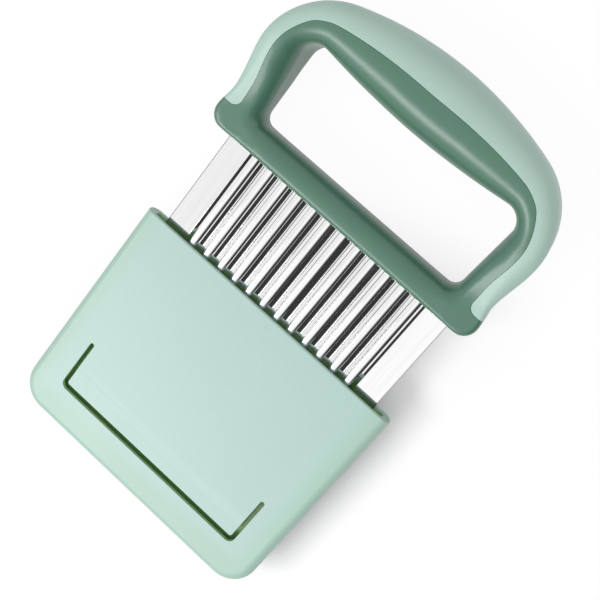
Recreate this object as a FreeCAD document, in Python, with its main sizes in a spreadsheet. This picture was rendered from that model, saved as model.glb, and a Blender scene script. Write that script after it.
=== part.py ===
import FreeCAD, Part
import Sketcher
import math
import os

# Crinkle cutter: a D-shaped handle with a soft grip cover, a corrugated steel
# blade moulded into the foot of the handle, and a sheath that slides over the
# blade. It lies on its back: X runs across the blade, Y from the cutting edge
# to the handle, Z from the back to the front. The origin is under the middle
# of the whole length. Millimetres.

# Driving dimensions
SIZES = (
    # blade
    ("blade_width", 91.2),
    ("blade_reach", 76.0),
    ("blade_thickness", 0.5),
    ("blade_corner", 3.0),
    ("bevel_height", 2.2),
    ("edge_thickness", 0.12),
    ("wave_count", 12),
    ("wave_pitch", 6.16),
    ("wave_depth", 2.2),
    ("crest_radius", 1.9),
    ("valley_radius", 0.6),
    # tang, the top of the blade inside the foot of the handle
    ("tang_length", 6.6),
    ("tang_corner", 2.0),
    ("tang_hole", 3.0),
    ("tang_hole_count", 4),
    ("tang_hole_spacing", 23.0),
    # handle, heights measured from the underside of its foot
    ("ear_overhang", 7.3),
    ("ear_corner", 5.0),
    ("waist_depth", 0.9),
    ("waist_height", 11.0),
    ("leg_flare", 0.75),
    ("leg_width", 12.0),
    ("foot_height", 9.3),
    ("foot_thickness", 15.0),
    ("foot_edge", 2.0),
    ("foot_round", 6.0),
    ("leg_edge", 6.0),
    ("leg_round", 5.2),
    ("opening_height", 31.5),
    ("opening_taper", 2.1),
    ("opening_foot_corner", 3.75),
    ("opening_arch_corner", 5.5),
    ("arch_sag", 3.9),
    ("arch_width", 23.8),
    ("shoulder_radius", 26.0),
    ("shoulder_drop", 30.3),
    ("grip_thickness", 25.0),
    ("grip_edge", 11.8),
    ("grip_round", 9.2),
    # soft cover on the outside of the legs and the arch
    ("cover_thickness", 2.6),
    ("cover_leg_width", 6.1),
    ("cover_crown_width", 11.0),
    ("cover_start", 8.3),
    ("cover_end_radius", 2.8),
    ("core_thickness", 11.0),
    ("core_root", 2.0),
    ("seam_gap", 0.12),
    # sheath
    ("guard_side_clearance", 3.7),
    ("guard_face_clearance", 0.45),
    ("guard_end_clearance", 4.6),
    ("guard_side_wall", 3.1),
    ("guard_wall", 1.5),
    ("guard_floor", 3.4),
    ("guard_corner", 10.5),
    ("guard_edge_round", 3.1),
    ("guard_bore_round", 1.6),
    ("guard_rim_round", 0.4),
    ("guard_drawn", 37.2),
    # spring tongue in the front of the sheath
    ("tongue_width", 77.3),
    ("tongue_height", 17.35),
    ("tongue_above_end", 15.65),
    ("tongue_step", 0.3),
    ("tongue_step_height", 9.0),
    ("tongue_step_length", 4.0),
    ("slot_width", 1.7),
    ("slot_bar", 2.25),
    ("slot_corner", 2.6),
)

# Sizes that follow from the driving dimensions
CROWN = "(Sizes.foot_height + Sizes.opening_height - Sizes.arch_sag + Sizes.arch_width)"
GUARD_HEIGHT = "(Sizes.blade_reach + Sizes.guard_end_clearance + Sizes.guard_floor)"
LENGTH = f"({CROWN} + Sizes.guard_drawn + {GUARD_HEIGHT})"
FOOT_Y = f"({LENGTH} / 2 - {CROWN})"
MIDDLE_Z = "(Sizes.grip_thickness / 2)"
BORE_THICKNESS = (
    "(Sizes.wave_depth + Sizes.blade_thickness + 2 * Sizes.guard_face_clearance)"
)
GUARD_THICKNESS = f"({BORE_THICKNESS} + 2 * Sizes.guard_wall)"
BORE_WIDTH = "(Sizes.blade_width + 2 * Sizes.guard_side_clearance)"
GUARD_WIDTH = f"({BORE_WIDTH} + 2 * Sizes.guard_side_wall)"
BORE_DEPTH = "(Sizes.blade_reach + Sizes.guard_end_clearance)"

# Room that a cutting shape reaches past the solid it cuts
PAST = 5.0

os.makedirs("parts", exist_ok=True)
doc = FreeCAD.newDocument("CrinkleCutter")
sheet = doc.addObject("Spreadsheet::Sheet", "Sizes")
for row, (alias, value) in enumerate(SIZES, start=1):
    sheet.set(f"A{row}", alias)
    sheet.set(f"B{row}", str(value))
    sheet.setAlias(f"B{row}", alias)
doc.recompute()


def point(x, y, z=0.0):
    return FreeCAD.Vector(x, y, z)


def near(a, b):
    return abs(a - b) < 0.01


def feature(name, shape):
    made = doc.addObject("Part::Feature", name)
    made.Shape = shape
    return made


def boolean(kind, name, base, tool):
    made = doc.addObject(f"Part::{kind}", name)
    made.Base = base
    made.Tool = tool
    return made


def place(made, label, y_expression=FOOT_Y):
    """Move a finished piece from its own origin to its place in the assembly."""
    made.Label = label
    made.setExpression("Placement.Base.y", y_expression)
    made.setExpression("Placement.Base.z", MIDDLE_Z)
    return made


# Blade: its own origin is where the middle of the sheet leaves the handle


def flank_angle():
    """Slope of the straight flank that joins a valley arc to a crest arc."""
    half_pitch = sheet.wave_pitch / 2
    radii = sheet.crest_radius + sheet.valley_radius
    rise = sheet.wave_depth - radii
    return math.atan2(rise, half_pitch) + math.asin(radii / math.hypot(half_pitch, rise))


def wave_face(offset, side_x):
    """Edges of the corrugated outline at an offset from the middle of the sheet,
    from -side_x to side_x, with flat margins level with the valleys."""
    slope = flank_angle()
    valley_r = sheet.valley_radius - offset
    crest_r = sheet.crest_radius + offset
    valley_z = -sheet.wave_depth / 2 + sheet.valley_radius
    crest_z = sheet.wave_depth / 2 - sheet.crest_radius
    first_x = -sheet.wave_count * sheet.wave_pitch / 2

    def valley(x, angle):
        return point(x + valley_r * math.sin(angle), 0, valley_z - valley_r * math.cos(angle))

    def crest(x, angle):
        return point(x + crest_r * math.sin(angle), 0, crest_z + crest_r * math.cos(angle))

    def line(start, end):
        return Part.LineSegment(start, end).toShape()

    def arc(start, middle, end):
        return Part.Arc(start, middle, end).toShape()

    edges = [line(point(-side_x, 0, valley(0, 0).z), valley(first_x, 0))]
    for wave in range(int(sheet.wave_count)):
        left = first_x + wave * sheet.wave_pitch
        top = left + sheet.wave_pitch / 2
        right = left + sheet.wave_pitch
        edges += [
            arc(valley(left, 0), valley(left, slope / 2), valley(left, slope)),
            line(valley(left, slope), crest(top, -slope)),
            arc(crest(top, -slope), crest(top, 0), crest(top, slope)),
            line(crest(top, slope), valley(right, -slope)),
            arc(valley(right, -slope), valley(right, -slope / 2), valley(right, 0)),
        ]
    edges.append(line(valley(-first_x, 0), point(side_x, 0, valley(0, 0).z)))
    return edges


def ends(edges):
    return edges[0].Vertexes[0].Point, edges[-1].Vertexes[-1].Point


def wave_sheet():
    """Corrugated strip, as long as the blade and its tang."""
    half = sheet.blade_width / 2
    front = wave_face(sheet.blade_thickness / 2, half)
    back = wave_face(-sheet.blade_thickness / 2, half)
    front_left, front_right = ends(front)
    back_left, back_right = ends(back)
    outline = front + [Part.LineSegment(front_right, back_right).toShape()]
    outline += back[::-1] + [Part.LineSegment(back_left, front_left).toShape()]
    strip = Part.Face(Part.Wire(outline))
    strip.translate(point(0, -sheet.blade_reach, 0))
    return strip.extrude(point(0, sheet.blade_reach + sheet.tang_length, 0))


# The bevel's cut runs on past the cutting edge, in bevel heights
BEVEL_REACH = 1.5


def bevel_cut():
    """Ground bevel: the back of the sheet leans forward toward the edge."""
    half = sheet.blade_width / 2 + PAST
    back = wave_face(-sheet.blade_thickness / 2, half)
    left, right = ends(back)
    below = -sheet.wave_depth - PAST
    low_right = point(half, 0, below)
    low_left = point(-half, 0, below)
    outline = back + [
        Part.LineSegment(right, low_right).toShape(),
        Part.LineSegment(low_right, low_left).toShape(),
        Part.LineSegment(low_left, left).toShape(),
    ]
    cut = Part.Face(Part.Wire(outline))
    cut.translate(point(0, -sheet.blade_reach + sheet.bevel_height, 0))
    lean = sheet.blade_thickness - sheet.edge_thickness
    return cut.extrude(point(0, -sheet.bevel_height, lean) * BEVEL_REACH)


def blade_outline():
    """Front view of the blade with its tang, as a thick block with round corners."""
    height = 2 * (sheet.wave_depth + PAST)
    corner = point(-sheet.blade_width / 2, -sheet.blade_reach, -height / 2)
    length = sheet.blade_reach + sheet.tang_length
    block = Part.makeBox(sheet.blade_width, length, height, corner)

    def upright_at(y):
        boxes = [(edge, edge.BoundBox) for edge in block.Edges]
        return [edge for edge, box in boxes if box.ZLength > height / 2 and near(box.Center.y, y)]

    block = block.makeFillet(sheet.blade_corner, upright_at(-sheet.blade_reach))
    return block.makeFillet(sheet.tang_corner, upright_at(sheet.tang_length))


def tang_holes():
    """Holes that the moulded handle grips through."""
    height = 2 * (sheet.wave_depth + PAST)
    first_x = -(sheet.tang_hole_count - 1) * sheet.tang_hole_spacing / 2
    pegs = []
    for index in range(int(sheet.tang_hole_count)):
        centre = point(first_x + index * sheet.tang_hole_spacing, sheet.tang_length / 2, -height / 2)
        pegs.append(Part.makeCylinder(sheet.tang_hole / 2, height, centre))
    return Part.makeCompound(pegs)


blade_strip = feature("blade_strip", wave_sheet())
blade_front = feature("blade_front", blade_outline())
blade_blank = boolean("Common", "blade_blank", blade_strip, blade_front)
blade_punched = boolean("Cut", "blade_punched", blade_blank, feature("tang_pegs", tang_holes()))
blade_form = boolean("Cut", "blade_form", blade_punched, feature("blade_bevel", bevel_cut()))
doc.recompute()
crinkle_blade = place(feature("crinkle_blade_piece", blade_form.Shape.copy()), "crinkle_blade")

# Handle: its own origin is in the middle of the underside of its foot

# Cross-sections from the foot to the crown, and rounds of evening their steps
STATIONS = 60
EVEN_ROUNDS = 8
# How far the skin may drift from its points where it is simplified
SKIN_TOLERANCE = 0.01
# Most of a cross-section's width that its two roundings take up
FLAT_SHARE = 0.92
# Part of the half width over which the cover widens toward the crown
SEAM_SPREAD = 0.87
# Length of the first run, in corner radii of the opening
BAR_REACH = 1.5
# Points that a run of the outline is drawn through
RUN_STEPS = 16
# Steps round the front half of a cross-section
RING_STEPS = 24
# Heights over which the legs take up their own rounding, and the grip's below the
# arch, and over which the handle thickens
LEG_BLEND = 8.0
GRIP_BLEND = 14.0
THICKENING = 27.0
# How fast the cover's seam leaves the crown, and its start above the waist
SEAM_POWER = 1.5
SEAM_START = 1.0
# Degree of the skin in both directions
SKIN_DEGREE = 3


def blend(start, end, share):
    return start + (end - start) * share


def smooth(share):
    share = min(max(share, 0.0), 1.0)
    return share * share * (3 - 2 * share)


def toward(centre, radius, angle):
    return centre + point(math.cos(angle), math.sin(angle)) * radius


def line_run(start, end):
    return lambda share: start + (end - start) * share


def arc_run(centre, radius, start, end):
    return lambda share: toward(centre, radius, blend(start, end, share))


def opening_corners():
    """Lower and upper corner of the opening's right half, before they are rounded."""
    top_x = sheet.blade_width / 2 + sheet.ear_overhang + sheet.leg_flare - sheet.leg_width
    low = point(top_x - sheet.opening_taper, sheet.foot_height)
    return low, low + point(sheet.opening_taper, sheet.opening_height)


def inner_runs():
    """Edge of the opening's right half: foot, corner, side, corner, half the arch."""
    low, high = opening_corners()
    up = (high - low).normalize()
    inward = point(-up.y, up.x)
    foot_r = sheet.opening_foot_corner
    arch_r = sheet.opening_arch_corner
    foot_centre = low + inward * foot_r + up * (foot_r * (1 - inward.y) / up.y)
    under_r = (high.x**2 + sheet.arch_sag**2) / (2 * sheet.arch_sag)
    under_centre = point(0, high.y - sheet.arch_sag + under_r)
    # The upper corner touches the side and, from below, the arch's underside
    away = low + inward * arch_r - under_centre
    along = away.dot(up)
    rise = -along - math.sqrt(along**2 - away.dot(away) + (under_r + arch_r) ** 2)
    arch_centre = low + inward * arch_r + up * rise
    touch = under_centre - arch_centre
    touch_angle = math.atan2(touch.y, touch.x)
    side_angle = math.atan2(-inward.y, -inward.x)
    bottom = point(foot_centre.x, low.y)
    return [
        line_run(bottom - point(BAR_REACH * foot_r, 0), bottom),
        arc_run(foot_centre, foot_r, -math.pi / 2, side_angle),
        line_run(foot_centre - inward * foot_r, arch_centre - inward * arch_r),
        arc_run(arch_centre, arch_r, side_angle, touch_angle),
        arc_run(under_centre, under_r, touch_angle - math.pi, -math.pi / 2),
    ]


def outer_runs():
    """Outside of the right half: foot, ear, leg, shoulder and half the crown."""
    ear_x = sheet.blade_width / 2 + sheet.ear_overhang
    ear_r = sheet.ear_corner
    ear = point(ear_x - ear_r, ear_r)
    crown_y = sheet.foot_height + sheet.opening_height - sheet.arch_sag + sheet.arch_width
    drop = sheet.shoulder_drop
    shoulder_r = sheet.shoulder_radius
    shoulder = point(ear_x + sheet.leg_flare - shoulder_r, crown_y - drop)
    crown_r = (shoulder.x**2 + drop**2 - shoulder_r**2) / (2 * (drop - shoulder_r))
    crown = point(0, crown_y - crown_r)
    bend = math.atan2(shoulder.y - crown.y, shoulder.x)
    waist = point(ear_x - sheet.waist_depth, sheet.waist_height)
    side = shoulder + point(shoulder_r, 0)
    leg = Part.BSplineCurve()
    leg.interpolate([point(ear_x, ear_r), waist, side], False, 0.001, point(0, 1), point(0, 1))
    start_x = inner_runs()[0](0).x
    return [
        line_run(point(start_x, 0), point(ear.x, 0)),
        arc_run(ear, ear_r, -math.pi / 2, 0),
        lambda share: leg.value(blend(leg.FirstParameter, leg.LastParameter, share)),
        arc_run(shoulder, shoulder_r, 0, bend),
        arc_run(crown, crown_r, bend, math.pi / 2),
    ]


def run_edges(runs):
    """The runs as edges that follow one another."""
    edges = []
    for run in runs:
        curve = Part.BSplineCurve()
        curve.interpolate([run(step / RUN_STEPS) for step in range(RUN_STEPS + 1)])
        edges.append(curve.toShape())
    return edges


def point_at(edges, length):
    """Point at a length along edges that follow one another."""
    for edge in edges[:-1]:
        if length <= edge.Length:
            break
        length -= edge.Length
    else:
        edge = edges[-1]
    return edge.valueAt(edge.getParameterByLength(min(length, edge.Length)))


def evened(values, rounds):
    """Numbers in rising order, with sudden changes of step smoothed out."""
    for _ in range(rounds):
        middle = [(a + 2 * b + c) / 4 for a, b, c in zip(values, values[1:], values[2:])]
        values = [values[0], values[1], *middle[1:-1], values[-2], values[-1]]
    return values


def handle_stations():
    """Ends of the cross-sections of the right half, from the foot to the crown: the
    point on the opening's edge and the point on the outside."""
    sides = [run_edges(inner_runs()), run_edges(outer_runs())]
    means = [(a.Length + b.Length) / 2 for a, b in zip(*sides)]
    total = sum(means)
    lengths = [[], []]
    for step in range(STATIONS + 1):
        rest = total * step / STATIONS
        run = 0
        while run < len(means) - 1 and rest > means[run]:
            rest -= means[run]
            run += 1
        share = min(rest / means[run], 1.0)
        for edges, found in zip(sides, lengths):
            found.append(sum(edge.Length for edge in edges[:run]) + share * edges[run].Length)
    inner, outer = [evened(found, EVEN_ROUNDS) for found in lengths]
    return [(point_at(sides[0], i), point_at(sides[1], o)) for i, o in zip(inner, outer)]


def ramp(height, low, high):
    return smooth((height - low) / (high - low))


def section(station, side):
    """Points at equal steps round the front half of one cross-section: flat, and
    rounded to the opening and to the outside. Side is 1 or -1."""
    inner, outer = station
    shoulder_y = outer_runs()[3](0).y
    bend_y = outer_runs()[3](1).y
    side_y = inner_runs()[2](1).y
    arch_y = inner_runs()[3](1).y
    middle_y = (inner.y + outer.y) / 2
    edge_r = blend(sheet.foot_edge, sheet.leg_edge, ramp(outer.y, sheet.ear_corner, shoulder_y))
    edge_r = blend(edge_r, sheet.grip_edge, ramp(outer.y, shoulder_y, bend_y))
    to_leg = ramp(inner.y, sheet.foot_height, sheet.foot_height + LEG_BLEND)
    round_r = blend(sheet.foot_round, sheet.leg_round, to_leg)
    round_r = blend(round_r, sheet.grip_round, ramp(inner.y, side_y - GRIP_BLEND, arch_y))
    to_grip = ramp(middle_y, sheet.foot_height, sheet.foot_height + THICKENING)
    half = blend(sheet.foot_thickness, sheet.grip_thickness, to_grip) / 2
    start = point(side * inner.x, inner.y)
    along = point(side * outer.x, outer.y) - start
    width = along.Length
    along.normalize()
    room = min(1.0, FLAT_SHARE * width / (edge_r + round_r))
    edge_r *= room
    round_r *= room

    def at(u, z):
        return start + along * u + point(0, 0, z)

    def arc(u, z, radius, first):
        """Quarter arc round (u, z), clockwise from an angle in quarter turns."""
        turns = [math.pi / 2 * (first - part / 2) for part in range(3)]
        places = [at(u + radius * math.cos(turn), z + radius * math.sin(turn)) for turn in turns]
        return Part.Arc(*places).toShape()

    inner_z = half - round_r
    outer_z = half - edge_r
    outer_u = width - edge_r
    edges = [
        Part.LineSegment(at(0, 0), at(0, inner_z)).toShape(),
        arc(round_r, inner_z, round_r, 2),
        Part.LineSegment(at(round_r, half), at(outer_u, half)).toShape(),
        arc(outer_u, outer_z, edge_r, 1),
        Part.LineSegment(at(width, outer_z), at(width, 0)).toShape(),
    ]
    total = sum(edge.Length for edge in edges)
    return [point_at(edges, total * step / RING_STEPS) for step in range(RING_STEPS + 1)]


def skin_over(rings):
    """One smooth surface over rows of points, upright where it ends at mid thickness."""
    places = [0.0]
    for ring, following in zip(rings, rings[1:]):
        steps = [a.distanceToPoint(b) for a, b in zip(ring, following)]
        places.append(places[-1] + sum(steps) / len(steps))
    lengthwise = []
    for column in zip(*rings):
        curve = Part.BSplineCurve()
        curve.interpolate(Points=list(column), Parameters=places)
        lengthwise.append(curve)
    round_places = [float(step) for step in range(len(rings[0]))]
    crosswise = []
    for row in zip(*[curve.getPoles() for curve in lengthwise]):
        curve = Part.BSplineCurve()
        curve.interpolate(
            Points=list(row),
            Parameters=round_places,
            InitialTangent=point(0, 0, 1),
            FinalTangent=point(0, 0, -1),
        )
        crosswise.append(curve)
    skin = Part.BSplineSurface()
    skin.buildFromPolesMultsKnots(
        [curve.getPoles() for curve in crosswise],
        lengthwise[0].getMultiplicities(),
        crosswise[0].getMultiplicities(),
        lengthwise[0].getKnots(),
        crosswise[0].getKnots(),
        False,
        False,
        SKIN_DEGREE,
        SKIN_DEGREE,
    )
    for index in range(skin.NbUKnots - 1, 1, -1):
        skin.removeUKnot(index, 0, SKIN_TOLERANCE)
    for index in range(skin.NbVKnots - 1, 1, -1):
        skin.removeVKnot(index, 0, SKIN_TOLERANCE)
    return skin.toShape()


def handle_solid():
    """Whole outer form of the handle: a smooth skin over the legs and the arch, from
    end to end of the straight bar of the foot, and the bar itself."""
    stations = handle_stations()
    rings = [section(station, 1) for station in stations]
    rings += [section(station, -1) for station in reversed(stations[:-1])]
    skin = skin_over(rings)
    bar_x = stations[0][0].x
    upright = [edge for edge in skin.Edges if edge.BoundBox.XLength < 0.01]
    bar_end = next(edge for edge in upright if near(edge.BoundBox.XMin, bar_x))
    bar = bar_end.extrude(point(-2 * bar_x, 0, 0))
    front = [skin, bar]
    back = [face.mirror(point(0, 0, 0), point(0, 0, 1)) for face in front]
    shell = Part.Shell(front + [part.Faces[0] for part in back])
    shell.sewShape()
    return Part.Solid(shell)


def along_grip(depth_at):
    """Curve over the crown from waist to waist, at a depth below the outside. The
    depth is a function of how near the crown a point is, from 0 to 1."""
    crown_x = SEAM_SPREAD * (sheet.blade_width / 2 + sheet.ear_overhang)
    points = []
    for inner, outer in handle_stations():
        if outer.y < sheet.waist_height + SEAM_START:
            continue
        to_crown = 1 - min(outer.x / crown_x, 1.0) ** SEAM_POWER
        inward = (inner - outer).normalize()
        points.append(outer + inward * depth_at(to_crown))
    curve = Part.BSplineCurve()
    curve.interpolate([point(-p.x, p.y) for p in points[:-1]] + points[::-1])
    return curve


def cover_width(to_crown):
    return blend(sheet.cover_leg_width, sheet.cover_crown_width, to_crown)


def through(shape):
    """Extrude a flat shape well past the front and back of the handle."""
    shape.translate(point(0, 0, -sheet.grip_thickness))
    return shape.extrude(point(0, 0, 2 * sheet.grip_thickness))


def seam_wall(gap):
    """Wall that parts the frame from the cover, moved by a gap into the cover."""
    curve = along_grip(lambda to_crown: cover_width(to_crown) - gap)
    top = curve.EndPoint
    low_y = sheet.cover_start + gap
    end_r = sheet.cover_end_radius
    slant = end_r * (1 - math.sqrt(0.5))
    end_arc = Part.Arc(
        point(top.x, low_y + end_r),
        point(top.x + slant, low_y + slant),
        point(top.x + end_r, low_y),
    )
    right = [
        Part.LineSegment(top, point(top.x, low_y + end_r)),
        end_arc,
        Part.LineSegment(point(top.x + end_r, low_y), point(sheet.blade_width, low_y)),
    ]
    edges = [curve.toShape()]
    for piece in right:
        edges.append(piece.toShape())
        mirrored = piece.copy()
        mirrored.mirror(point(0, 0), point(0, 1))
        edges.append(mirrored.toShape())
    return through(Part.Wire(Part.sortEdges(edges)[0]))


def split_off(solid, wall, inner_point):
    """The part of a solid on one side of a wall, where the inner point lies."""
    pieces, _ = solid.generalFuse([wall])
    return next(piece for piece in pieces.Solids if piece.isInside(inner_point, 0.001, False))


def core_web():
    """Flat rib of the frame that the cover is moulded around."""
    outside = along_grip(lambda to_crown: sheet.cover_thickness)
    inside = along_grip(lambda to_crown: cover_width(to_crown) + sheet.core_root)
    feet = []
    for end in ("StartPoint", "EndPoint"):
        outer, inner = getattr(outside, end), getattr(inside, end)
        outer_foot = point(outer.x, sheet.cover_start + sheet.cover_thickness)
        inner_foot = point(inner.x, outer_foot.y)
        feet += Part.makePolygon([outer, outer_foot, inner_foot, inner]).Edges
    edges = [outside.toShape(), inside.toShape(), *feet]
    rib = Part.Face(Part.Wire(Part.sortEdges(edges)[0]))
    rib.translate(point(0, 0, -sheet.core_thickness / 2))
    return rib.extrude(point(0, 0, sheet.core_thickness))


def foot_middle():
    return point(0, sheet.foot_height / 2, 0)


def crown_middle():
    return handle_stations()[-1][1] - point(0, sheet.cover_thickness / 2, 0)


handle_form = feature("handle_form", handle_solid())
web = feature("core_web", core_web())
frame_side = feature("frame_side", split_off(handle_form.Shape, seam_wall(0), foot_middle()))
frame_solid = boolean("Fuse", "frame_solid", frame_side, web)
handle_frame = place(boolean("Cut", "handle_frame_piece", frame_solid, blade_form), "handle_frame")
cover_side = feature("cover_side", split_off(handle_form.Shape, seam_wall(sheet.seam_gap), crown_middle()))
grip_cover = place(boolean("Cut", "grip_cover_piece", cover_side, web), "grip_cover")

# Sheath and its tongue: their own origin is in the middle of the mouth


def origin_plane(body, role):
    return next(item for item in body.Origin.OriginFeatures if item.Role == role)


def new_sketch(body, name, role):
    sketch = body.newObject("Sketcher::SketchObject", name)
    sketch.AttachmentSupport = [(origin_plane(body, role), "")]
    sketch.MapMode = "FlatFace"
    return sketch


def hold_point(sketch, geometry, position, across, up):
    """Bind a sketch point to two expressions; 0 means on the sketch's own axis."""
    now = sketch.getPoint(geometry, position)
    for kind, axis, start, expression in (
        ("DistanceX", -2, now.x, across),
        ("DistanceY", -1, now.y, up),
    ):
        if expression == "0":
            sketch.addConstraint(Sketcher.Constraint("PointOnObject", geometry, position, axis))
            continue
        index = sketch.addConstraint(Sketcher.Constraint(kind, -1, 1, geometry, position, start))
        sketch.setExpression(f"Constraints[{index}]", expression)


def hold_across(sketch, geometry, position, across):
    """Bind only how far across a sketch point lies."""
    now = sketch.getPoint(geometry, position)
    index = sketch.addConstraint(Sketcher.Constraint("DistanceX", -1, 1, geometry, position, now.x))
    sketch.setExpression(f"Constraints[{index}]", across)


def polygon(body, name, role, corners):
    """Closed sketch through corners that are pairs of expressions."""
    sketch = new_sketch(body, name, role)
    count = len(corners)
    turn = 2 * math.pi / count
    ring = [point(math.cos(index * turn), math.sin(index * turn)) for index in range(count)]
    for index in range(count):
        sketch.addGeometry(Part.LineSegment(ring[index], ring[(index + 1) % count]))
    for index in range(count):
        sketch.addConstraint(Sketcher.Constraint("Coincident", index, 2, (index + 1) % count, 1))
    for index, (across, up) in enumerate(corners):
        hold_point(sketch, index, 1, across, up)
    return sketch


def plate_outline(body, name, width, depth, corner, top):
    """Closed sketch of an upright plate with round lower corners, seen from the front."""
    side, low, bend = f"{width} / 2", f"-{depth}", f"({corner})"
    in_x, in_y = f"({side} - {bend})", f"{low} + {bend}"
    sketch = new_sketch(body, name, "XY_Plane")
    ring = (point(-3, 1), point(-3, -2), point(-2, -3), point(2, -3), point(3, -2), point(3, 1))
    quarter = math.pi / 2
    left_bend = Part.Circle(point(-2, -2), point(0, 0, 1), 1)
    right_bend = Part.Circle(point(2, -2), point(0, 0, 1), 1)
    sketch.addGeometry(Part.LineSegment(ring[0], ring[1]))
    sketch.addGeometry(Part.ArcOfCircle(left_bend, 2 * quarter, 3 * quarter))
    sketch.addGeometry(Part.LineSegment(ring[2], ring[3]))
    sketch.addGeometry(Part.ArcOfCircle(right_bend, 3 * quarter, 4 * quarter))
    sketch.addGeometry(Part.LineSegment(ring[4], ring[5]))
    sketch.addGeometry(Part.LineSegment(ring[5], ring[0]))
    for index in range(6):
        sketch.addConstraint(Sketcher.Constraint("Coincident", index, 2, (index + 1) % 6, 1))
    hold_point(sketch, 0, 1, f"-{side}", top)
    hold_point(sketch, 1, 1, f"-{side}", in_y)
    hold_point(sketch, 2, 1, f"-{in_x}", low)
    hold_point(sketch, 3, 1, in_x, low)
    hold_point(sketch, 4, 1, side, in_y)
    hold_point(sketch, 5, 1, side, top)
    for arc, across in ((1, f"-{in_x}"), (3, in_x)):
        hold_across(sketch, arc, 3, across)
    return sketch


def circles(body, name, role, centres, radius):
    """Sketch of equal circles whose centres are pairs of expressions."""
    sketch = new_sketch(body, name, role)
    for index, (across, up) in enumerate(centres):
        sketch.addGeometry(Part.Circle(point(index, index), point(0, 0, 1), 1.0))
        hold_point(sketch, index, 3, across, up)
        size = sketch.addConstraint(Sketcher.Constraint("Radius", index, 1.0))
        sketch.setExpression(f"Constraints[{size}]", radius)
    return sketch


def pad_through(body, name, sketch, length):
    """Pad to both sides of the sketch alike."""
    pad = body.newObject("PartDesign::Pad", name)
    pad.Profile = sketch
    pad.SideType = "Symmetric"
    pad.setExpression("Length", length)
    doc.recompute()
    return pad


def pocket(body, name, sketch, length, reverse, both_sides=False):
    """Pocket on one side of the sketch or on both; it has to take material away."""
    before = body.Shape.Volume
    cut = body.newObject("PartDesign::Pocket", name)
    cut.Profile = sketch
    cut.Reversed = reverse
    if both_sides:
        cut.SideType = "Symmetric"
    cut.setExpression("Length", length)
    doc.recompute()
    if body.Shape.Volume > before - 1.0:
        raise RuntimeError(f"{name} cuts nothing")
    return cut


def round_edges(body, name, radius, wanted):
    """Fillet the edges of the body's last solid that a test picks by their box."""
    last = body.Tip
    names = [
        f"Edge{index}"
        for index, edge in enumerate(last.Shape.Edges, start=1)
        if wanted(edge.BoundBox)
    ]
    if not names:
        raise RuntimeError(f"{name} finds no edge")
    fillet = body.newObject("PartDesign::Fillet", name)
    fillet.Base = (last, names)
    fillet.setExpression("Radius", radius)
    doc.recompute()
    if "Invalid" in fillet.State:
        raise RuntimeError(f"{name} failed")
    return fillet


def halves(width, low, high):
    """Corners of a rectangle centred across, between two heights."""
    return [
        (f"-{width} / 2", high),
        (f"-{width} / 2", low),
        (f"{width} / 2", low),
        (f"{width} / 2", high),
    ]


bore_thickness = sheet.wave_depth + sheet.blade_thickness + 2 * sheet.guard_face_clearance
guard_thickness = bore_thickness + 2 * sheet.guard_wall
bore_depth = sheet.blade_reach + sheet.guard_end_clearance
bore_half = sheet.blade_width / 2 + sheet.guard_side_clearance
guard_height = bore_depth + sheet.guard_floor
tongue_tip = guard_height - sheet.tongue_above_end
window_foot = tongue_tip + sheet.slot_bar

WINDOW_WIDTH = "(Sizes.tongue_width + 2 * Sizes.slot_width)"
SLOT_X = "(Sizes.tongue_width + Sizes.slot_width) / 2"
TONGUE_TIP = f"(Sizes.tongue_above_end - {GUARD_HEIGHT})"
TONGUE_ROOT = f"({TONGUE_TIP} + Sizes.tongue_height)"
WINDOW_FOOT = f"({TONGUE_TIP} - Sizes.slot_bar)"
STEP_FOOT = f"{TONGUE_TIP} + Sizes.tongue_step_height - Sizes.tongue_step_length"
STEP_HEAD = f"{TONGUE_TIP} + Sizes.tongue_step_height"


def upright(box):
    """An edge that runs from front to back or through a wall."""
    return box.XLength < 0.01 and box.YLength < 0.01


def make_guard_shell():
    body = doc.addObject("PartDesign::Body", "guard_shell_body")
    outline = plate_outline(body, "guard_outline", GUARD_WIDTH, GUARD_HEIGHT, "Sizes.guard_corner", "0")
    pad_through(body, "guard_block", outline, GUARD_THICKNESS)
    round_edges(
        body, "guard_edges", "Sizes.guard_edge_round",
        lambda box: near(abs(box.Center.z), guard_thickness / 2)
        and not (near(box.YMin, 0) and near(box.YMax, 0)),
    )
    inner_corner = "Sizes.guard_corner - Sizes.guard_side_wall"
    bore = plate_outline(body, "bore_outline", BORE_WIDTH, BORE_DEPTH, inner_corner, f"{PAST}")
    pocket(body, "guard_bore", bore, BORE_THICKNESS, False, both_sides=True)
    round_edges(
        body, "bore_edges", "Sizes.guard_bore_round",
        lambda box: near(abs(box.Center.z), bore_thickness / 2)
        and abs(box.Center.x) <= bore_half + 0.01
        and box.YMin > -bore_depth - 0.01
        and not (near(box.YMin, 0) and near(box.YMax, 0)),
    )
    window = polygon(body, "tongue_window", "XY_Plane", halves(WINDOW_WIDTH, WINDOW_FOOT, TONGUE_ROOT))
    pocket(body, "tongue_opening", window, GUARD_THICKNESS, True)
    round_edges(
        body, "slot_corners", "Sizes.slot_corner",
        lambda box: upright(box) and near(box.YMin, -window_foot) and box.ZMin > 0,
    )
    tops = [(f"-{SLOT_X}", TONGUE_ROOT), (SLOT_X, TONGUE_ROOT)]
    ends_sketch = circles(body, "slot_end_circles", "XY_Plane", tops, "Sizes.slot_width / 2")
    pocket(body, "slot_ends", ends_sketch, GUARD_THICKNESS, True)
    round_edges(
        body, "mouth_rim", "Sizes.guard_rim_round",
        lambda box: near(box.YMin, 0) and near(box.YMax, 0),
    )
    return body


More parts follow.
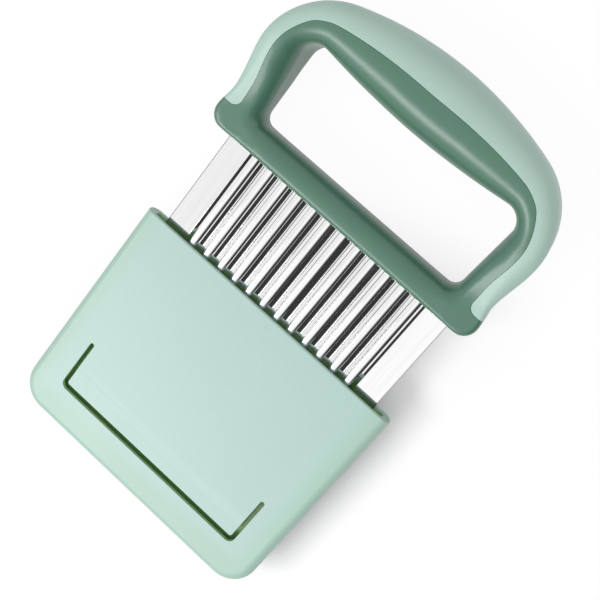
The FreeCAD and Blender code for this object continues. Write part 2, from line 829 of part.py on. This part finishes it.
def tongue_profile(body):
    """Side view of the tongue. Its outer face steps in near the tip, by two equal
    arcs that meet halfway down the step."""
    inner = f"{BORE_THICKNESS} / 2"
    outer = f"{GUARD_THICKNESS} / 2"
    lowered = f"{GUARD_THICKNESS} / 2 - Sizes.tongue_step"
    middle_y = f"{STEP_HEAD} - Sizes.tongue_step_length / 2"
    middle_z = f"{GUARD_THICKNESS} / 2 - Sizes.tongue_step / 2"
    tip_y = -tongue_tip
    root_y = tip_y + sheet.tongue_height
    head_y = tip_y + sheet.tongue_step_height
    foot_y = head_y - sheet.tongue_step_length
    inner_z = bore_thickness / 2
    outer_z = guard_thickness / 2
    lowered_z = outer_z - sheet.tongue_step
    radius = (sheet.tongue_step_length**2 + sheet.tongue_step**2) / (4 * sheet.tongue_step)
    lean = math.asin(sheet.tongue_step_length / 2 / radius)
    up = math.pi / 2
    head_circle = Part.Circle(point(head_y, outer_z - radius), point(0, 0, 1), radius)
    foot_circle = Part.Circle(point(foot_y, lowered_z + radius), point(0, 0, 1), radius)
    sketch = new_sketch(body, "tongue_profile", "YZ_Plane")
    sketch.addGeometry(Part.LineSegment(point(root_y, inner_z), point(root_y, outer_z)))
    sketch.addGeometry(Part.LineSegment(point(root_y, outer_z), point(head_y, outer_z)))
    sketch.addGeometry(Part.ArcOfCircle(head_circle, up, up + lean))
    sketch.addGeometry(Part.ArcOfCircle(foot_circle, 3 * up, 3 * up + lean))
    sketch.addGeometry(Part.LineSegment(point(foot_y, lowered_z), point(tip_y, lowered_z)))
    sketch.addGeometry(Part.LineSegment(point(tip_y, lowered_z), point(tip_y, inner_z)))
    sketch.addGeometry(Part.LineSegment(point(tip_y, inner_z), point(root_y, inner_z)))
    joined_ends = (
        (0, 2, 1, 1),
        (1, 2, 2, 1),
        (2, 2, 3, 2),
        (3, 1, 4, 1),
        (4, 2, 5, 1),
        (5, 2, 6, 1),
        (6, 2, 0, 1),
    )
    for ends_met in joined_ends:
        sketch.addConstraint(Sketcher.Constraint("Coincident", *ends_met))
    hold_point(sketch, 0, 1, TONGUE_ROOT, inner)
    hold_point(sketch, 1, 1, TONGUE_ROOT, outer)
    hold_point(sketch, 2, 1, STEP_HEAD, outer)
    hold_point(sketch, 2, 2, middle_y, middle_z)
    hold_point(sketch, 4, 1, STEP_FOOT, lowered)
    hold_point(sketch, 5, 1, TONGUE_TIP, lowered)
    hold_point(sketch, 6, 1, TONGUE_TIP, inner)
    hold_across(sketch, 2, 3, STEP_HEAD)
    hold_across(sketch, 3, 3, STEP_FOOT)
    return sketch


def make_guard_tongue():
    body = doc.addObject("PartDesign::Body", "guard_tongue_body")
    pad_through(body, "tongue_leaf", tongue_profile(body), "Sizes.tongue_width")
    round_edges(
        body, "tongue_corners", "Sizes.slot_corner - Sizes.slot_width",
        lambda box: upright(box) and near(box.YMin, -tongue_tip),
    )
    return body


MOUTH_Y = f"({FOOT_Y} - Sizes.guard_drawn)"
guard_shell = place(make_guard_shell(), "guard_shell", MOUTH_Y)
guard_tongue = place(make_guard_tongue(), "guard_tongue", MOUTH_Y)

# Check everything, then write one file for each piece
doc.recompute()
for item in doc.Objects:
    if "Invalid" in item.State or "Error" in item.State:
        raise RuntimeError(f"{item.Name} failed: {item.State}")
for piece in (handle_frame, grip_cover, crinkle_blade, guard_shell, guard_tongue):
    if piece.Shape.isNull() or not piece.Shape.isValid() or not piece.Shape.Solids:
        raise RuntimeError(f"{piece.Label} has no sound solid")
    piece.Shape.exportStep(f"parts/{piece.Label}.step")
    print(piece.Label, len(piece.Shape.Solids), round(piece.Shape.Volume, 1))
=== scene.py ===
"""Looks and light of the crinkle cutter: a wavy steel blade in a moulded handle, with a slide-on guard."""

import bpy
from mathutils import Matrix, Vector


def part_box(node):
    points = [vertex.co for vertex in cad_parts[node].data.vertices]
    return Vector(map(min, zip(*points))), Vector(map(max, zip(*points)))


MM = 0.001

# Camera: place and turn in the model's frame, with a 60 mm lens on a 36 mm sensor
CAMERA_PLACE = Vector((42.64, 107.43, 312.25)) * MM
CAMERA_RIGHT = Vector((0.74011, 0.60144, -0.30085))
CAMERA_DOWN = Vector((0.66229, -0.72949, 0.17092))
CAMERA_AHEAD = Vector((-0.11667, -0.32575, -0.93823))
LENS = 60.0
SENSOR = 36.0
NEAREST = 0.01
FARTHEST = 50.0

# Floor: a paper sheet, in metres. The camera and the gloss see it as plain white from the
# second reach on, and as bare paper with its full shadow inside the first, by the sheath
FLOOR_SIZE = 6.0
FLOOR_WHITE = 0.95
SHADOW_PLACE = (0.055, -0.075, 0.0)
SHADOW_REACH = (0.055, 0.135)
PAPER_SEEN = 0.97
PAPER_BOUNCE = 0.36

# Studio: its bands by the X of a ray's direction, how bright each is, and the soft light,
# which grows by the tilt towards +X and +Y
WALL_SPAN = (-0.20, -0.05)
PANEL_SPAN = (0.30, 0.80)
WINDOW_OPENS = (0.05, 0.20)
WINDOW_ENDS = (0.50, 0.62)
WALL_LEFT = 0.98
WALL_RIGHT = 1.1
PANEL_DARK = 0.045
SOFT_LIGHT = 0.70
SOFT_TILT = 0.16
SECOND_BOUNCE = 2.0

# Key lamp, in metres and watts
KEY_PLACE = (-0.27, -0.57, 0.77)
KEY_AIM = (0.0, 0.0, 0.0125)
KEY_WIDTH = 0.80
KEY_HEIGHT = 0.30
KEY_WATTS = 5.6

# The part of the range 0 to 1 that a noise pattern fills
NOISE_SPAN = (0.3, 0.7)

# Plastic: cycles per metre of its patterns, and how far they lighten, darken or roughen it
MOTTLE_SCALE = 28.0
SPECK_SCALE = 900.0
RUB_SCALE = 90.0
RUB_STRETCH = (1.0, 0.12, 1.0)
RUB_SPAN = (0.60, 0.74)
MOTTLE_TONE = 0.022
SPECK_TONE = 0.012
LIGHTEST = 1.5
DARKEST = 0.5
MOTTLE_ROUGH = 0.03
GRAIN_HEIGHT = 0.02 * MM
SHEEN_ROUGH = 0.5

# Sheath: how far in from each face, in millimetres, a tone starts and is full, for the greener rim and for
# the painted shade on the walls of the slot and bore
RIM_FROM_SIDE = (10.0, 3.0)
RIM_FROM_END = (13.0, 7.0)
HOLLOW_FROM_FRONT = (0.5, 1.0)
HOLLOW_FROM_BACK = (0.7, 1.3)
HOLLOW_FROM_SIDE = (3.0, 3.2)
HOLLOW_FROM_END = (4.0, 4.4)
HOLLOW_FROM_MOUTH = (0.3, 1.2)

# Steel: cycles per metre of its lines along X, Y and Z, its colours and roughness, and,
# in millimetres, how far in its painted dark edge reflection reaches and how high its bevel is
LINE_STRETCH = (5200.0, 90.0, 900.0)
STREAK_STRETCH = (900.0, 14.0, 300.0)
GROUND_STRETCH = (500.0, 5200.0, 500.0)
STEEL_DULL = (0.84, 0.84, 0.84, 1)
STEEL_BRIGHT = (0.90, 0.90, 0.905, 1)
# Painted reflection: the dark that the rounded sides of the blade would reflect
STEEL_PAINTED_EDGE = (0.30, 0.30, 0.31, 1)
PAINTED_EDGE_FROM_SIDE = (0.38, 0.12)
STEEL_ROUGH = 0.04
LINE_ROUGH = 0.01
BEVEL_ROUGH = 0.14
BEVEL_HEIGHT = 2.4
LINE_BUMP = 0.005
GROUND_BUMP = 0.12
STEEL_RELIEF = 0.01 * MM


def srgb(red, green, blue):
    """A screen colour, 0 to 255, as the linear colour that a shader takes."""
    def line(value):
        value = value / 255
        return value / 12.92 if value <= 0.04045 else ((value + 0.055) / 1.055) ** 2.4
    return (line(red), line(green), line(blue), 1.0)


def grey(level):
    return (level, level, level, 1)


def scaled(colour, factor):
    """The colour lighter or darker by a factor, with no channel past white."""
    return tuple(min(1.0, value * factor) for value in colour[:3]) + (1.0,)


class Nodes:
    """Short ways to add and join the nodes of one material or world."""

    def __init__(self, tree):
        self.tree = tree
        tree.nodes.clear()

    def add(self, kind, **settings):
        node = self.tree.nodes.new(kind)
        for name, value in settings.items():
            setattr(node, name, value)
        return node

    def put(self, socket, value):
        if isinstance(value, bpy.types.NodeSocket):
            self.tree.links.new(value, socket)
        else:
            socket.default_value = value

    def math(self, operation, *values, clamp=False):
        node = self.add("ShaderNodeMath", operation=operation, use_clamp=clamp)
        for socket, value in zip(node.inputs, values):
            self.put(socket, value)
        return node.outputs[0]

    def span(self, value, low, high, to_low=0.0, to_high=1.0, smooth=True):
        kind = "SMOOTHSTEP" if smooth else "LINEAR"
        node = self.add("ShaderNodeMapRange", interpolation_type=kind)
        for name, given in (("Value", value), ("From Min", low), ("From Max", high),
                            ("To Min", to_low), ("To Max", to_high)):
            self.put(node.inputs[name], given)
        return node.outputs["Result"]

    def split(self, vector):
        """The three numbers of a vector."""
        node = self.add("ShaderNodeSeparateXYZ")
        self.put(node.inputs[0], vector)
        return node.outputs[0], node.outputs[1], node.outputs[2]

    def noise(self, place, scale=1.0, detail=2.0, roughness=0.5, stretch=None):
        if stretch:
            mapping = self.add("ShaderNodeMapping")
            self.put(mapping.inputs["Vector"], place)
            mapping.inputs["Scale"].default_value = stretch
            place = mapping.outputs[0]
        node = self.add("ShaderNodeTexNoise")
        self.put(node.inputs["Vector"], place)
        node.inputs["Scale"].default_value = scale
        node.inputs["Detail"].default_value = detail
        node.inputs["Roughness"].default_value = roughness
        return node.outputs["Fac"]

    def swing(self, pattern, middle, reach):
        """A noise pattern stretched to go from middle - reach to middle + reach."""
        return self.span(pattern, *NOISE_SPAN, middle - reach, middle + reach, smooth=False)

    def mix(self, share, first, second):
        node = self.add("ShaderNodeMix", data_type="RGBA")
        self.put(node.inputs[0], share)
        self.put(node.inputs[6], first)
        self.put(node.inputs[7], second)
        return node.outputs[2]

    def bump(self, height, strength, distance, normal=None):
        node = self.add("ShaderNodeBump")
        node.inputs["Strength"].default_value = strength
        node.inputs["Distance"].default_value = distance
        self.put(node.inputs["Height"], height)
        if normal is not None:
            self.put(node.inputs["Normal"], normal)
        return node.outputs[0]

    def direct(self, *kinds):
        """1 for rays of the named kinds, and 0 for all others."""
        paths = self.add("ShaderNodeLightPath")
        total = paths.outputs[kinds[0]]
        for kind in kinds[1:]:
            total = self.math("ADD", total, paths.outputs[kind], clamp=True)
        return total


def material(name):
    made = bpy.data.materials.new(name)
    made.use_nodes = True
    nodes = Nodes(made.node_tree)
    surface = nodes.add("ShaderNodeBsdfPrincipled")
    output = nodes.add("ShaderNodeOutputMaterial")
    nodes.tree.links.new(surface.outputs[0], output.inputs[0])
    place = nodes.add("ShaderNodeTexCoord").outputs["Object"]
    return made, nodes, surface, place


# Materials
def moulded_plastic(name, colour, rough, grain, grain_size, scuffs, sheen=0.0, ior=1.5, tones=()):
    """Satin moulded plastic: fine spark-eroded grain, a faint mottle, and light scuffs.
    Each of the tones, such as the painted shade on the sheath's hollow walls, is a function that gives its
    share from 0 to 1 at a place, and its colour."""
    made, nodes, surface, place = material(name)
    mottle = nodes.noise(place, MOTTLE_SCALE, detail=3.0, roughness=0.55)
    speck = nodes.noise(place, SPECK_SCALE, detail=1.0)
    tone = nodes.math("ADD", nodes.swing(mottle, 0.5, MOTTLE_TONE), nodes.swing(speck, 0.0, SPECK_TONE))
    shade = nodes.mix(tone, scaled(colour, DARKEST), scaled(colour, LIGHTEST))
    for cover, tint in tones:
        shade = nodes.mix(cover(nodes, place), shade, tint)
    nodes.put(surface.inputs["Base Color"], shade)
    rub = nodes.noise(place, RUB_SCALE, detail=4.0, roughness=0.7, stretch=RUB_STRETCH)
    wear = nodes.math("MULTIPLY", nodes.span(rub, *RUB_SPAN), scuffs)
    nodes.put(surface.inputs["Roughness"], nodes.math("ADD", wear, nodes.swing(mottle, rough, MOTTLE_ROUGH)))
    cells = nodes.noise(place, 1 / (grain_size * MM), roughness=0.6)
    nodes.put(surface.inputs["Normal"], nodes.bump(cells, grain, GRAIN_HEIGHT))
    surface.inputs["IOR"].default_value = ior
    if sheen:
        surface.inputs["Sheen Weight"].default_value = sheen
        surface.inputs["Sheen Roughness"].default_value = SHEEN_ROUGH
    return made


def inward(nodes, value, face, limits, way):
    """A share that goes from 0 at the first of two distances in from a face to 1 at the second,
    and stays as it is beyond them. Way is 1 where inward is up the axis, and -1 where it is down."""
    first, full = (face + way * limit * MM for limit in limits)
    if first < full:
        return nodes.span(value, first, full)
    return nodes.span(value, full, first, 1.0, 0.0)


def near_edge(nodes, place):
    """1 along the sheath's sides and closed end, where its plastic looks greener, fading to 0 further in."""
    x, y = nodes.split(place)[:2]
    side = inward(nodes, nodes.math("ABSOLUTE", x), guard_high.x, RIM_FROM_SIDE, -1)
    end = inward(nodes, y, guard_low.y, RIM_FROM_END, 1)
    return nodes.math("MAXIMUM", side, end)


def painted_shade_walls(nodes, place):
    """Where the sheath's painted shade goes: 1 on the walls of its slot and bore, 0 on its outer faces."""
    x, y, z = nodes.split(place)
    share = inward(nodes, z, guard_high.z, HOLLOW_FROM_FRONT, -1)
    others = (
        inward(nodes, z, guard_low.z, HOLLOW_FROM_BACK, 1),
        inward(nodes, nodes.math("ABSOLUTE", x), guard_high.x, HOLLOW_FROM_SIDE, -1),
        inward(nodes, y, guard_low.y, HOLLOW_FROM_END, 1),
        inward(nodes, y, guard_high.y, HOLLOW_FROM_MOUTH, -1),
    )
    for other in others:
        share = nodes.math("MULTIPLY", share, other)
    return share


def rolled_steel(name):
    """Bright stainless strip with fine lines along its length, cross-ground lines on the bevel, and a
    painted dark reflection along its two sides.
    """
    made, nodes, surface, place = material(name)
    x, y = nodes.split(place)[:2]
    lines = nodes.noise(place, detail=3.0, roughness=0.6, stretch=LINE_STRETCH)
    streaks = nodes.noise(place, stretch=STREAK_STRETCH)
    ground = nodes.noise(place, roughness=0.6, stretch=GROUND_STRETCH)
    bevel = nodes.span(y, blade_low.y, blade_low.y + BEVEL_HEIGHT * MM, 1.0, 0.0)
    shine = nodes.mix(nodes.swing(streaks, 0.5, 0.5), STEEL_DULL, STEEL_BRIGHT)
    # Painted reflection: the blade's colour turns dark towards its two sides
    edge = inward(nodes, nodes.math("ABSOLUTE", x), blade_high.x, PAINTED_EDGE_FROM_SIDE, -1)
    nodes.put(surface.inputs["Base Color"], nodes.mix(edge, shine, STEEL_PAINTED_EDGE))
    surface.inputs["Metallic"].default_value = 1.0
    polish = nodes.swing(lines, STEEL_ROUGH, LINE_ROUGH)
    nodes.put(surface.inputs["Roughness"],
              nodes.math("ADD", polish, nodes.math("MULTIPLY", bevel, BEVEL_ROUGH)))
    relief = nodes.bump(lines, LINE_BUMP, STEEL_RELIEF)
    cuts = nodes.math("MULTIPLY", ground, bevel)
    nodes.put(surface.inputs["Normal"], nodes.bump(cuts, GROUND_BUMP, STEEL_RELIEF, relief))
    return made


# Stage
def studio_world():
    """White studio for the camera and for gloss, and an even soft light for everything else.
    A first reflection shows one dark panel on the right. A second one, between two waves of the
    blade, shows a bright window in the dark instead, which draws the dark bands of the steel."""
    world = bpy.data.worlds.new("studio")
    bpy.context.scene.world = world
    world.use_nodes = True
    nodes = Nodes(world.node_tree)
    side, along = nodes.split(nodes.add("ShaderNodeTexCoord").outputs["Generated"])[:2]
    wall = nodes.mix(nodes.span(side, *WALL_SPAN), grey(WALL_LEFT), grey(WALL_RIGHT))
    once = nodes.mix(nodes.span(side, *PANEL_SPAN), wall, grey(PANEL_DARK))
    opens = nodes.span(side, *WINDOW_OPENS)
    window = nodes.math("MULTIPLY", opens, nodes.span(side, *WINDOW_ENDS, 1.0, 0.0))
    twice = nodes.mix(window, grey(PANEL_DARK), grey(WALL_RIGHT))
    bounces = nodes.add("ShaderNodeLightPath").outputs["Glossy Depth"]
    second = nodes.math("COMPARE", bounces, SECOND_BOUNCE, 0.5)
    shown = nodes.mix(second, once, twice)
    tilt = nodes.math("MULTIPLY", nodes.math("ADD", side, along), SOFT_TILT)
    soft = nodes.math("ADD", tilt, SOFT_LIGHT)
    seen = nodes.mix(nodes.direct("Is Glossy Ray", "Is Transmission Ray"), soft, shown)
    seen = nodes.mix(nodes.direct("Is Camera Ray"), seen, grey(1))
    background = nodes.add("ShaderNodeBackground")
    nodes.put(background.inputs["Color"], seen)
    output = nodes.add("ShaderNodeOutputWorld")
    nodes.tree.links.new(background.outputs[0], output.inputs[0])


def floor_material():
    """Paper that takes the shadow, and that turns to plain white away from it."""
    made = bpy.data.materials.new("floor_white")
    made.use_nodes = True
    nodes = Nodes(made.node_tree)
    direct = nodes.direct("Is Camera Ray", "Is Glossy Ray", "Is Transmission Ray")
    paper = nodes.add("ShaderNodeBsdfDiffuse")
    nodes.put(paper.inputs["Color"], nodes.mix(direct, grey(PAPER_BOUNCE), grey(PAPER_SEEN)))
    white = nodes.add("ShaderNodeEmission")
    white.inputs["Strength"].default_value = 1.0
    away = nodes.add("ShaderNodeVectorMath", operation="DISTANCE")
    nodes.put(away.inputs[0], nodes.add("ShaderNodeTexCoord").outputs["Object"])
    away.inputs[1].default_value = SHADOW_PLACE
    share = nodes.span(away.outputs["Value"], *SHADOW_REACH, 0.0, FLOOR_WHITE)
    both = nodes.add("ShaderNodeMixShader")
    nodes.put(both.inputs[0], nodes.math("MULTIPLY", direct, share))
    nodes.put(both.inputs[1], paper.outputs[0])
    nodes.put(both.inputs[2], white.outputs[0])
    output = nodes.add("ShaderNodeOutputMaterial")
    nodes.tree.links.new(both.outputs[0], output.inputs[0])
    return made


def floor_sheet():
    mesh = bpy.data.meshes.new("floor")
    half = FLOOR_SIZE / 2
    corners = [(-half, -half, 0), (half, -half, 0), (half, half, 0), (-half, half, 0)]
    mesh.from_pydata(corners, [], [(0, 1, 2, 3)])
    floor = bpy.data.objects.new("floor", mesh)
    bpy.context.scene.collection.objects.link(floor)
    mesh.materials.append(floor_material())


def key_lamp():
    data = bpy.data.lights.new("key", "AREA")
    data.shape = "RECTANGLE"
    data.size = KEY_WIDTH
    data.size_y = KEY_HEIGHT
    data.energy = KEY_WATTS
    item = bpy.data.objects.new("key", data)
    item.location = KEY_PLACE
    ahead = Vector(KEY_AIM) - Vector(KEY_PLACE)
    item.rotation_euler = ahead.to_track_quat("-Z", "Y").to_euler()
    bpy.context.scene.collection.objects.link(item)


def camera():
    data = bpy.data.cameras.new("camera")
    data.lens = LENS
    data.sensor_width = SENSOR
    data.clip_start = NEAREST
    data.clip_end = FARTHEST
    item = bpy.data.objects.new("camera", data)
    turn = Matrix((CAMERA_RIGHT, -CAMERA_DOWN, -CAMERA_AHEAD)).transposed()
    item.matrix_world = Matrix.Translation(CAMERA_PLACE) @ turn.to_4x4()
    bpy.context.scene.collection.objects.link(item)
    bpy.context.scene.camera = item


def dress(node, made):
    """Put one material on every slot of a CAD node."""
    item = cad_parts[node]
    if not item.material_slots:
        item.data.materials.append(made)
    for place in item.material_slots:
        place.material = made


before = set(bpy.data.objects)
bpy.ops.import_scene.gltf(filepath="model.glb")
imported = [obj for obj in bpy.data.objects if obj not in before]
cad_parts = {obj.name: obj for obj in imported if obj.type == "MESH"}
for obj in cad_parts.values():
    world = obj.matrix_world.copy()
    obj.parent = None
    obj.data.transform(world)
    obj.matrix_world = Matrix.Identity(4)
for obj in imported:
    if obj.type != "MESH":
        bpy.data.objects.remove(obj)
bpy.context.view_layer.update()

bpy.context.scene.view_settings.view_transform = "Standard"
camera()
studio_world()
floor_sheet()
key_lamp()

blade_low, blade_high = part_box("crinkle_blade")
guard_low, guard_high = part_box("guard_shell")
frame_green = srgb(68, 112, 90)
cover_mint = srgb(172, 200, 189)
guard_mint = srgb(167, 196, 189)
guard_rim = srgb(162, 193, 178)
# Painted shade: a greener, less blue tone that stands in for the shade on the walls of the slot and bore
guard_hollow_painted_shade = srgb(154, 200, 126)
rim_tone = (near_edge, guard_rim)
hollow_painted_shade_tone = (painted_shade_walls, guard_hollow_painted_shade)
satin = {"rough": 0.38, "grain": 0.15, "grain_size": 0.30, "scuffs": 0.05}

dress("handle_frame", moulded_plastic(
    "handle_plastic", frame_green, rough=0.34, grain=0.16, grain_size=0.28, scuffs=0.06, ior=1.65))
dress("grip_cover", moulded_plastic(
    "grip_rubber", cover_mint, rough=0.44, grain=0.22, grain_size=0.22, scuffs=0.05, sheen=0.05))
# The sheath and its tongue both get the painted shade on their hollow walls
dress("guard_shell", moulded_plastic("guard_plastic", guard_mint, tones=(rim_tone, hollow_painted_shade_tone), **satin))
dress("guard_tongue", moulded_plastic("tongue_plastic", guard_mint, tones=(hollow_painted_shade_tone,), **satin))
dress("crinkle_blade", rolled_steel("blade_steel"))
